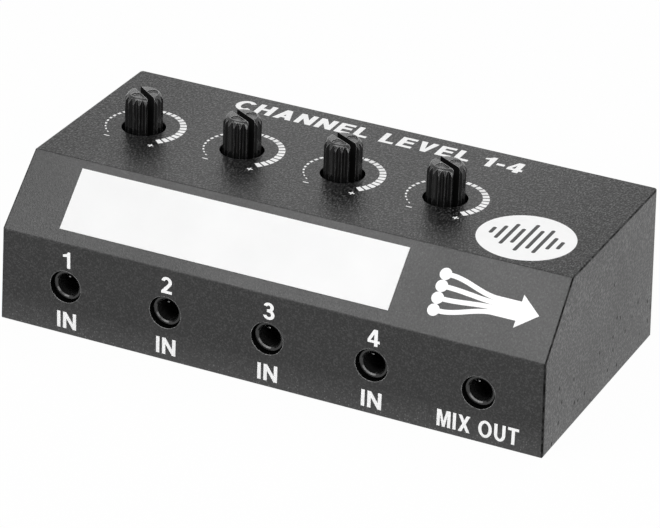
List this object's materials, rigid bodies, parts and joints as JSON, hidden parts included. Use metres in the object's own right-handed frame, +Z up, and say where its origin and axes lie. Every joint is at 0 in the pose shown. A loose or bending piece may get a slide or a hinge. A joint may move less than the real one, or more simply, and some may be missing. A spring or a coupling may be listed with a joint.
{
  "type": "audio mixer",
  "caption": "Small desk-top audio mixer: wedge-fronted plastic box with rotary level controls on split serrated shafts, a row of mini jack sockets in front and a write-on label on the slope.",
  "frame": {"origin": "under the middle of the base, on the table", "axes": "+X right along the front panel, +Y from the front panel to the back, +Z up along the control shafts"},
  "size_m": [0.0904, 0.0442, 0.0308],
  "materials": {
    "housing_plastic": "fine spark texture",
    "label_film": "satin write-on film",
    "jack_plastic": "gloss",
    "shaft_plastic": "satin moulded",
    "pot_plastic": "matt moulded",
    "frame_steel": "tinned steel",
    "screw_steel": "zinc plated",
    "tinned_wire": "tinned",
    "contact_brass": "spring brass",
    "board_laminate": "solder mask",
    "resistor_coat": "lacquered"
  },
  "bodies": {
    "mixer": {"upper_housing": "housing_plastic", "bottom_cover": "housing_plastic", "cover_screws": "screw_steel", "circuit_board": "board_laminate", "board_screws": "screw_steel", "write_on_label": "label_film", "mixing_resistors": "resistor_coat", "resistor_leads": "tinned_wire", "jack_1_body": "jack_plastic", "jack_1_sleeve": "contact_brass", "jack_1_tip": "contact_brass", "jack_2_body": "jack_plastic", "jack_2_sleeve": "contact_brass", "jack_2_tip": "contact_brass", "jack_3_body": "jack_plastic", "jack_3_sleeve": "contact_brass", "jack_3_tip": "contact_brass", "jack_4_body": "jack_plastic", "jack_4_sleeve": "contact_brass", "jack_4_tip": "contact_brass", "jack_out_body": "jack_plastic", "jack_out_sleeve": "contact_brass", "jack_out_tip": "contact_brass", "pot_1_case": "pot_plastic", "pot_1_track": "pot_plastic", "pot_1_frame": "frame_steel", "pot_1_terminals": "tinned_wire", "pot_2_case": "pot_plastic", "pot_2_track": "pot_plastic", "pot_2_frame": "frame_steel", "pot_2_terminals": "tinned_wire", "pot_3_case": "pot_plastic", "pot_3_track": "pot_plastic", "pot_3_frame": "frame_steel", "pot_3_terminals": "tinned_wire", "pot_4_case": "pot_plastic", "pot_4_track": "pot_plastic", "pot_4_frame": "frame_steel", "pot_4_terminals": "tinned_wire"},
    "control_1": {"pot_1_shaft": "shaft_plastic", "pot_1_wiper": "contact_brass"},
    "control_2": {"pot_2_shaft": "shaft_plastic", "pot_2_wiper": "contact_brass"},
    "control_3": {"pot_3_shaft": "shaft_plastic", "pot_3_wiper": "contact_brass"},
    "control_4": {"pot_4_shaft": "shaft_plastic", "pot_4_wiper": "contact_brass"}
  },
  "joints": [
    {"name": "control_1_turn", "type": "hinge", "parent": "mixer", "child": "control_1", "pos_m": [-0.0338, 0.00265, 0.025], "axis": [0, 0, -1], "range_deg": [-7, 293]},
    {"name": "control_2_turn", "type": "hinge", "parent": "mixer", "child": "control_2", "pos_m": [-0.0167, 0.00265, 0.025], "axis": [0, 0, -1], "range_deg": [-1, 299]},
    {"name": "control_3_turn", "type": "hinge", "parent": "mixer", "child": "control_3", "pos_m": [0.0004, 0.00265, 0.025], "axis": [0, 0, -1], "range_deg": [0, 300]},
    {"name": "control_4_turn", "type": "hinge", "parent": "mixer", "child": "control_4", "pos_m": [0.0175, 0.00265, 0.025], "axis": [0, 0, -1], "range_deg": [-1, 299]}
  ]
}
